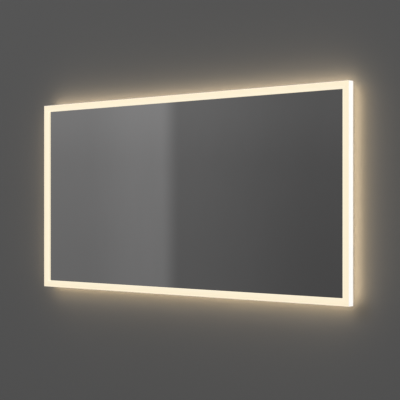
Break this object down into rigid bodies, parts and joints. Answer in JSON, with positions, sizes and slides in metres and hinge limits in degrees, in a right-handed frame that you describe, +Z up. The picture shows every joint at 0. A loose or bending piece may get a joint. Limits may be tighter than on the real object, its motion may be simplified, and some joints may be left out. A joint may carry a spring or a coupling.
{
  "type": "lighted bathroom mirror",
  "caption": "Wall-hung rectangular mirror with a lit opal border round its front and sides, hooked on a hidden wall rail.",
  "frame": {"origin": "middle of the wall rail's screw line, on the wall plane", "axes": "+X right along the wall as seen from the room, +Y into the wall, +Z up"},
  "size_m": [1.2, 0.045, 0.6],
  "materials": {
    "opal_acrylic": "satin opal acrylic, lit from inside in warm white",
    "mirror_silver": "silvered float glass, clear and flat",
    "foam_tape": "closed-cell double-sided foam tape",
    "heater_film": "heater film with printed tracks",
    "white_nylon": "moulded nylon",
    "coated_steel": "fine-textured powder coat in pale grey",
    "foam_rubber": "soft foam rubber",
    "black_rubber": "moulded rubber",
    "zinc_steel": "zinc-plated folded steel",
    "zinc_screw": "bright zinc",
    "grey_plastic": "moulded flame-retardant plastic",
    "terminal_brass": "plated brass",
    "mill_aluminium": "extruded, mill finish",
    "circuit_board": "populated circuit board",
    "black_plastic": "moulded black plastic",
    "dark_window": "dark infrared window",
    "grey_lead": "sheathed mains lead",
    "black_lead": "sheathed low-voltage lead",
    "green_lead": "insulated earth lead",
    "copper_link": "flexible copper link",
    "frame_aluminium": "anodised extrusion",
    "strip_board": "white flexible circuit board",
    "light_chip": "phosphor-coated light chip"
  },
  "bodies": {
    "wall_side": {"wall_rail": "zinc_steel"},
    "mirror_unit": {"access_cover": "coated_steel", "access_gasket": "foam_rubber", "back_pan": "coated_steel", "corner_key_screws": "zinc_screw", "corner_keys": "zinc_steel", "cover_screws": "zinc_screw", "demister_lead": "black_lead", "demister_pad": "heater_film", "demister_terminal": "white_nylon", "diffuser_bottom": "opal_acrylic", "diffuser_left": "opal_acrylic", "diffuser_right": "opal_acrylic", "diffuser_top": "opal_acrylic", "driver_board": "circuit_board", "driver_cap_input": "white_nylon", "driver_cap_output": "white_nylon", "driver_case": "mill_aluminium", "driver_screws": "zinc_screw", "earth_lead": "green_lead", "earth_nut": "terminal_brass", "earth_stud": "terminal_brass", "frame_rail_bottom": "frame_aluminium", "frame_rail_left": "frame_aluminium", "frame_rail_right": "frame_aluminium", "frame_rail_top": "frame_aluminium", "glass_tape": "foam_tape", "hanger_bolts": "zinc_screw", "hanger_left": "zinc_steel", "hanger_nuts": "zinc_screw", "hanger_right": "zinc_steel", "lead_clips": "white_nylon", "led_board_bottom": "strip_board", "led_board_left": "strip_board", "led_board_right": "strip_board", "led_board_top": "strip_board", "led_chips_bottom": "light_chip", "led_chips_left": "light_chip", "led_chips_right": "light_chip", "led_chips_top": "light_chip", "mirror_glass": "mirror_silver", "pan_screws": "zinc_screw", "sensor_housing": "black_plastic", "sensor_lead": "black_lead", "sensor_lens": "dark_window", "sensor_nut": "black_plastic", "strip_lead": "black_lead", "strip_links": "copper_link", "strut_left": "zinc_steel", "strut_right": "zinc_steel", "strut_screws": "zinc_screw", "supply_grommet": "black_rubber", "supply_lead": "grey_lead", "terminal_block": "white_nylon", "terminal_box": "grey_plastic", "terminal_box_screws": "zinc_screw", "terminal_screws": "terminal_brass", "wall_bumpers": "black_rubber"}
  },
  "joints": [
    {"name": "lift_off", "type": "slide", "parent": "wall_side", "child": "mirror_unit", "axis": [0, 0, 1], "range_m": [0, 0.014]}
  ]
}
